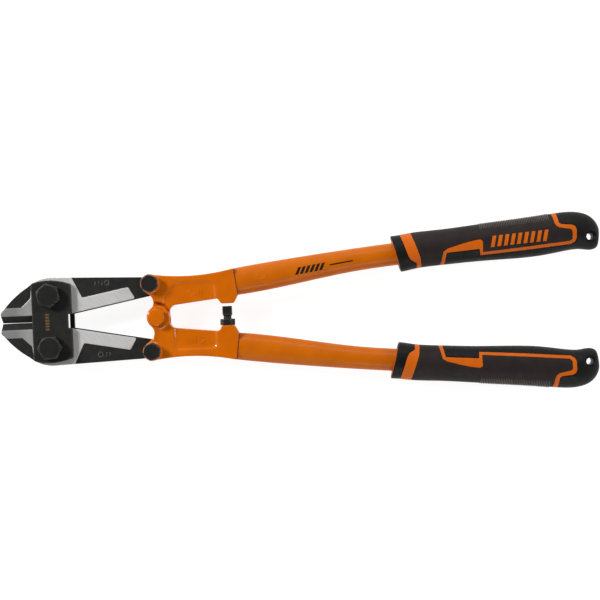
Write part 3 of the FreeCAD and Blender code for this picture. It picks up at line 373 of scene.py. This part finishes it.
def soften(node, voxel, rounds, extra=None):
    """A copy of a CAD node with its edges rounded, as forging and moulding leave them. It is
    cut into voxels of a size, then smoothed for some rounds, and for more of them where the
    extra test picks a place."""
    mesh = NODES[node].data.copy()
    tidy = bmesh.new()
    tidy.from_mesh(mesh)
    bmesh.ops.remove_doubles(tidy, verts=tidy.verts, dist=MERGE_DISTANCE * MM)
    tidy.to_mesh(mesh)
    tidy.free()
    slot = SLOT_OF[node]
    thing = new_piece(node + "_shaped", mesh, MATERIALS[slot])
    remesh = thing.modifiers.new("remesh", "REMESH")
    remesh.mode = "VOXEL"
    remesh.voxel_size = voxel * MM
    smooth = thing.modifiers.new("smooth", "SMOOTH")
    smooth.iterations = rounds
    settled(thing)
    if extra:
        group = thing.vertex_groups.new(name="extra")
        group.add([v.index for v in thing.data.vertices if extra(v.co)], 1.0, "REPLACE")
        smooth = thing.modifiers.new("smooth", "SMOOTH")
        smooth.iterations = rounds * EXTRA_SMOOTHING
        smooth.vertex_group = group.name
        settled(thing)
    thing.data.shade_smooth()
    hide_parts(node)
    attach(thing, BODY_OF[node])


for node, thing in NODES.items():
    thing.data.materials.clear()
    thing.data.materials.append(ENAMEL_SATIN if "tube" in node else MATERIALS[SLOT_OF[node]])

# Each softened node has its voxel size and rounds of smoothing.
for node in ("front_plate", "rear_plate", "centre_bolt", "centre_nut",
             "stop_screw", "stop_lock_nut"):
    soften(node, 0.3, 2)
for side in ("upper", "lower"):
    soften(side + "_forging", 0.45, 12, in_panel)
    soften(side + "_jaw", 0.35, 2)
    for fastener in ("_jaw_nut", "_link_nut", "_jaw_bolt", "_link_bolt"):
        soften(side + fastener, 0.3, 2)
    soften(side + "_grip_pad", 0.5, 2)
    soften(side + "_grip_collar", 0.5, 10)
    soften(side + "_grip_end_cap", 0.5, 2)


# ---------------------------------------------------------------- small details

# Rays that look for a surface start at this height above the middle plane. Bars reach this deep
# into the surface, and are cut into squares of about the pitch to follow it.
ABOVE = 60.0
BAR_SINK = 0.3
BAR_PITCH = 0.8
BEAD_SIDES = 8
CREASE_ANGLE = 40


def search_tree(*things):
    """The joined surfaces of several pieces, for finding where a line meets them."""
    joined = bmesh.new()
    for thing in things:
        joined.from_mesh(thing.data)
    return BVHTree.FromBMesh(joined)


def drop(tree, x, y):
    """The highest point of a surface over x, y."""
    hit = tree.ray_cast(at(x, y, ABOVE), Vector((0, 0, -1)))[0]
    if hit is None:
        raise RuntimeError("no surface under %.1f, %.1f" % (x, y))
    return hit


def bar(mesh, tree, corner, along, across, lift):
    """A thin printed or raised bar that follows the surface and stands proud of it by the lift.
    Its outline is a parallelogram from the corner, spanned by along and across."""
    columns = max(1, round(math.hypot(*along) / BAR_PITCH))
    rows = max(1, round(math.hypot(*across) / BAR_PITCH))
    top, bottom = {}, {}
    for i in range(columns + 1):
        for j in range(rows + 1):
            u, v = i / columns, j / rows
            place = drop(tree, corner[0] + u * along[0] + v * across[0],
                         corner[1] + u * along[1] + v * across[1])
            top[i, j] = mesh.verts.new(place + Vector((0, 0, lift * MM)))
            bottom[i, j] = mesh.verts.new(place - Vector((0, 0, BAR_SINK * MM)))
    for i in range(columns):
        for j in range(rows):
            ring = ((i, j), (i + 1, j), (i + 1, j + 1), (i, j + 1))
            mesh.faces.new([top[key] for key in ring])
            mesh.faces.new([bottom[key] for key in reversed(ring)])
    rim = ([(i, 0) for i in range(columns)] + [(columns, j) for j in range(rows)]
           + [(i, rows) for i in range(columns, 0, -1)] + [(0, j) for j in range(rows, 0, -1)])
    for first, second in zip(rim, rim[1:] + rim[:1]):
        mesh.faces.new((top[first], bottom[first], bottom[second], top[second]))


def bead(mesh, points, radii, sides):
    """A thin round bar through the points, as thick at each as its radius, in metres."""
    rings = []
    for i, (point, radius) in enumerate(zip(points, radii)):
        ahead = points[min(i + 1, len(points) - 1)] - points[max(i - 1, 0)]
        turn = ahead.to_track_quat("Z", "Y").to_matrix()
        rings.append([mesh.verts.new(point + turn @ Vector((
            radius * math.cos(2 * math.pi * k / sides),
            radius * math.sin(2 * math.pi * k / sides), 0.0))) for k in range(sides)])
    for first, second in zip(rings, rings[1:]):
        for k in range(sides):
            n = (k + 1) % sides
            mesh.faces.new((first[k], first[n], second[n], second[k]))
    mesh.faces.new(list(reversed(rings[0])))
    mesh.faces.new(rings[-1])


def detail(name, mesh, body, slot, material=None):
    """Turns collected bars or beads into one piece that rides on a body."""
    bmesh.ops.recalc_face_normals(mesh, faces=mesh.faces)
    data = bpy.data.meshes.new(name)
    mesh.to_mesh(data)
    mesh.free()
    thing = new_piece(name, data, material or MATERIALS[slot])
    data.shade_smooth()
    data.set_sharp_from_angle(angle=math.radians(CREASE_ANGLE))
    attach(thing, body)


# The grip's middle line runs through these two places. The lower grip sits a little forward.
GRIP_AXIS = ((240.0, 45.5), (290.0, 49.1))
LOWER_GRIP_SHIFT = -4.0

# The ribs run from one x to the other. Each is a bent rod through places that are some degrees
# apart round the grip, and sinks and thins towards its ends. The places are looked for from
# this reach outside the middle line.
RIBS = (246.6, 298.0)
RIB_PITCH = 1.25
RIB_STEPS = 7
RIB_STEP_ANGLE = 7.0
RIB_RISE = 0.5
RIB_SINK = 0.3
RIB_END_RADIUS = 0.1
RIB_SWELL = 0.25
RIB_SIDES = 6
RIB_REACH = 40.0


def grip_ribs(side, sign, shift, tree):
    """The fine ribs round the outer side of a grip."""
    mesh = bmesh.new()
    (ax, ay), (bx, by) = GRIP_AXIS
    slope = math.atan2(by - ay, bx - ax)
    outward = Vector((-math.sin(slope), sign * math.cos(slope), 0))
    count = int((RIBS[1] - RIBS[0]) / RIB_PITCH)
    for i in range(count + 1):
        x = RIBS[0] + i * RIB_PITCH
        centre = at(x + shift, sign * (ay + (x - ax) * math.tan(slope)))
        points, radii = [], []
        for step in range(-RIB_STEPS, RIB_STEPS + 1):
            angle = math.radians(step * RIB_STEP_ANGLE)
            way = outward * math.cos(angle) + Vector((0, 0, math.sin(angle)))
            hit = tree.ray_cast(centre + way * RIB_REACH * MM, -way)[0]
            fade = 1 - (abs(step) / RIB_STEPS) ** 3
            points.append(hit + way * (RIB_RISE * fade - RIB_SINK) * MM)
            radii.append((RIB_END_RADIUS + RIB_SWELL * fade) * MM)
        bead(mesh, points, radii, RIB_SIDES)
    # The ribs get the lighter rubber: a painted highlight on their tips.
    detail(side + "_grip_ribs", mesh, side + "_handle", "grip_charcoal", RIB_RUBBER_PAINTED_HIGHLIGHT)


# The row of bars on the upper grip. They start this far below its middle line.
GRIP_BAR_START = 252.6
GRIP_BAR_COUNT = 9
GRIP_BAR_PITCH = 4.9
GRIP_BAR_WIDTH = 2.8
GRIP_BAR_LEAN = 1.8
GRIP_BAR_HEIGHT = 8.4
GRIP_BAR_LIFT = 0.12
GRIP_BAR_BELOW = 4.6


def grip_mark(tree):
    """A plain row of slanted bars where a grip usually carries a printed mark."""
    mesh = bmesh.new()
    (ax, ay), (bx, by) = GRIP_AXIS
    rise = (by - ay) / (bx - ax)
    for i in range(GRIP_BAR_COUNT):
        x = GRIP_BAR_START + i * GRIP_BAR_PITCH
        low = ay + (x - ax) * rise - GRIP_BAR_BELOW
        bar(mesh, tree, (x, low), (GRIP_BAR_WIDTH, GRIP_BAR_WIDTH * rise),
            (GRIP_BAR_LEAN, GRIP_BAR_HEIGHT), GRIP_BAR_LIFT)
    detail("upper_grip_mark", mesh, "upper_handle", "grip_orange")


# The printed row on the upper tube: a place on its middle line and that line's slope, then the
# start, width, lean and height of each bar and of the thin line after them.
TUBE_ROW = (117.0, 31.8)
TUBE_ROW_SLOPE = 8.0
TUBE_BARS = [(105.5 + 3.6 * i, 2.3, 2.6, 5.6) for i in range(6)]
TUBE_LINE = (131.5, 17.5, 0.5, 1.1)
TUBE_PRINT_LIFT = 0.05


def tube_mark(tree):
    """A plain printed bar pattern on the upper tube."""
    mesh = bmesh.new()
    rise = math.tan(math.radians(TUBE_ROW_SLOPE))
    for x, width, lean, height in TUBE_BARS + [TUBE_LINE]:
        low = TUBE_ROW[1] + (x - TUBE_ROW[0]) * rise - height / 2
        bar(mesh, tree, (x, low), (width, width * rise), (lean, height), TUBE_PRINT_LIFT)
    detail("upper_tube_mark", mesh, "upper_handle", "enamel_orange", BLACK_PRINT)


# The lower left corner of the ladder on the front plate, then its rungs.
PLATE_LADDER = (-83.2, -6.4)
PLATE_RUNGS = 6
PLATE_RUNG_PITCH = 2.2
PLATE_RUNG_WIDTH = 3.0
PLATE_RUNG_HEIGHT = 1.5
PLATE_PRINT_LIFT = 0.04


def plate_mark(tree):
    """A ladder of short gilt bars between the jaw bolts."""
    mesh = bmesh.new()
    x, y = PLATE_LADDER
    for i in range(PLATE_RUNGS):
        bar(mesh, tree, (x, y + i * PLATE_RUNG_PITCH), (PLATE_RUNG_WIDTH, 0.0),
            (0.0, PLATE_RUNG_HEIGHT), PLATE_PRINT_LIFT)
    detail("front_plate_mark", mesh, "head", "plate_black", GOLD_PRINT)


def arc_bead(mesh, tree, centre, size, degrees, radius, sunk):
    """A raised arc on the front of a surface, through the given degrees round its centre.
    Radius is the bead's own, and sunk is how deep its middle lies."""
    points = []
    for turn in degrees:
        angle = math.radians(turn)
        point = drop(tree, centre[0] + size * math.cos(angle), centre[1] + size * math.sin(angle))
        points.append(point - Vector((0, 0, sunk * MM)))
    bead(mesh, points, [radius * MM] * len(points), BEAD_SIDES)


# The crimp's centre and radius, the degrees that it runs through, and its bead's radius and
# depth.
CRIMP_CENTRE = (79.6, 28.6)
CRIMP_SIZE = 3.2
CRIMP_DEGREES = range(170, 375, 12)
CRIMP_BEAD = (0.5, 0.25)


def crimp_mark(tree):
    """The small half-round crimp that holds the upper tube on its tang."""
    mesh = bmesh.new()
    arc_bead(mesh, tree, CRIMP_CENTRE, CRIMP_SIZE, CRIMP_DEGREES, *CRIMP_BEAD)
    detail("upper_tube_crimp", mesh, "upper_handle", "enamel_orange")


# Rings as x, y and radius, then bars as x, y, width and height, on the front of each node.
EMBOSSED = [
    ("upper_forging", [(27.0, 17.0, 2.6)], [(31.6, 14.6, 1.0, 4.6), (34.0, 14.6, 1.0, 4.6)]),
    ("lower_forging", [(33.4, -18.4, 2.4)], [(22.4, -20.6, 1.0, 4.6), (25.4, -20.6, 1.0, 4.6),
                                             (28.2, -20.6, 1.0, 4.6)]),
    ("upper_jaw", [(-36.4, 27.6, 1.7)], [(-46.0, 25.9, 0.9, 3.4), (-43.4, 25.9, 0.9, 3.4),
                                         (-40.8, 25.9, 0.9, 3.4)]),
    ("lower_jaw", [(-43.2, -26.2, 1.8)], [(-39.4, -28.0, 0.9, 3.4), (-37.0, -28.0, 0.9, 3.4)]),
]
# A ring's bead also has a radius and a depth.
FULL_RING = range(0, 361, 20)
RING_BEAD = (0.45, 0.2)
EMBOSSED_LEAN = 0.6
EMBOSSED_LIFT = 0.22


def embossed(name, node, tree, rings, bars):
    """Plain raised rings and bars on a forging or jaw, where such tools carry their size."""
    mesh = bmesh.new()
    for x, y, size in rings:
        arc_bead(mesh, tree, (x, y), size, FULL_RING, *RING_BEAD)
    for x, y, width, height in bars:
        bar(mesh, tree, (x, y), (width, 0.0), (EMBOSSED_LEAN, height), EMBOSSED_LIFT)
    detail(name, mesh, BODY_OF[node], SLOT_OF[node], FORGE_SKIN if "jaw" in node else None)


def details():
    """Adds the ribs and marks to the shown surfaces."""
    shown = {thing.name: thing for thing in bpy.context.scene.objects}
    for side, sign, shift in (("upper", 1, 0.0), ("lower", -1, LOWER_GRIP_SHIFT)):
        grip = search_tree(shown[side + "_grip_pad_shaped"], shown[side + "_grip_collar_shaped"],
                           shown[side + "_grip_end_cap_shaped"], shown[side + "_grip_core"])
        grip_ribs(side, sign, shift, grip)
        if side == "upper":
            grip_mark(grip)
    tube = search_tree(shown["upper_tube"])
    tube_mark(tube)
    crimp_mark(tube)
    plate_mark(search_tree(shown["front_plate_shaped"]))
    for node, rings, bars in EMBOSSED:
        embossed(node + "_mark", node, search_tree(shown[node + "_shaped"]), rings, bars)


details()


# ---------------------------------------------------------------- studio

# The camera looks straight down on a place given in millimetres from the origin. It is turned by
# some degrees. Its distance from the tool's middle plane and the width it sees there are in
# metres.
VIEW_TURN = 2.44
VIEW_CENTRE = (-0.8, 8.4)
VIEW_DISTANCE = 1.4
VIEW_WIDTH = 0.453
SENSOR_WIDTH = 36.0

# The white tent round the table: its strength at its walls and top, and the directions' Z
# between which it fades from one to the other. The floor reaches this many metres each way.
TENT_WALL = 0.9
TENT_TOP = 0.03
TENT_FADE = (0.25, 0.75)
FLOOR_REACH = 10.0

# Each lamp's name, place and size in metres, and power in watts.
LAMPS = [
    ("left_light", (-1.3, 0.7, 0.9), (0.4, 0.35), 28.0),
    ("front_light", (0.3, -1.4, 0.9), (0.8, 0.4), 7.0),
    ("back_light", (0.3, 1.4, 0.9), (0.8, 0.4), 7.0),
    ("right_light", (1.5, 0.1, 0.8), (0.3, 0.35), 8.0),
]


def area_light(name, place, size, power):
    """A soft rectangular lamp that points at the origin."""
    lamp = bpy.data.lights.new(name, "AREA")
    lamp.shape = "RECTANGLE"
    lamp.size = size[0]
    lamp.size_y = size[1]
    lamp.energy = power
    thing = bpy.data.objects.new(name, lamp)
    thing.location = place
    thing.rotation_mode = "QUATERNION"
    thing.rotation_quaternion = (-Vector(place)).to_track_quat("-Z", "Y")
    bpy.context.scene.collection.objects.link(thing)


def tent():
    """The white surround, dimmer overhead than at its walls."""
    world = bpy.data.worlds.new("studio")
    bpy.context.scene.world = world
    world.use_nodes = True
    sky = world.node_tree.nodes
    background = sky["Background"]
    direction = sky.new("ShaderNodeTexCoord")
    height = sky.new("ShaderNodeSeparateXYZ")
    fall = sky.new("ShaderNodeMapRange")
    join = world.node_tree.links.new
    join(direction.outputs["Generated"], height.inputs[0])
    join(height.outputs["Z"], fall.inputs[0])
    join(fall.outputs[0], background.inputs["Strength"])
    background.inputs["Color"].default_value = WHITE
    for socket, number in zip(list(fall.inputs)[1:5], (*TENT_FADE, TENT_WALL, TENT_TOP)):
        socket.default_value = number


def flat_floor():
    mesh = bpy.data.meshes.new("floor")
    reach = FLOOR_REACH
    mesh.from_pydata([(-reach, -reach, 0), (reach, -reach, 0), (reach, reach, 0),
                      (-reach, reach, 0)], [], [(0, 1, 2, 3)])
    floor = new_piece("floor", mesh, floor_paper())


def look_down():
    """The camera, square above the tool as in the photo."""
    camera = bpy.data.cameras.new("camera")
    camera.sensor_width = SENSOR_WIDTH
    camera.lens = camera.sensor_width * VIEW_DISTANCE / VIEW_WIDTH
    thing = bpy.data.objects.new("camera", camera)
    thing.location = (VIEW_CENTRE[0] * MM, VIEW_CENTRE[1] * MM, PIVOT.z + VIEW_DISTANCE)
    thing.rotation_euler = (0.0, 0.0, math.radians(-VIEW_TURN))
    bpy.context.scene.collection.objects.link(thing)
    bpy.context.scene.camera = thing


bpy.context.scene.view_settings.view_transform = "Standard"
tent()
flat_floor()
for lamp_facts in LAMPS:
    area_light(*lamp_facts)
look_down()
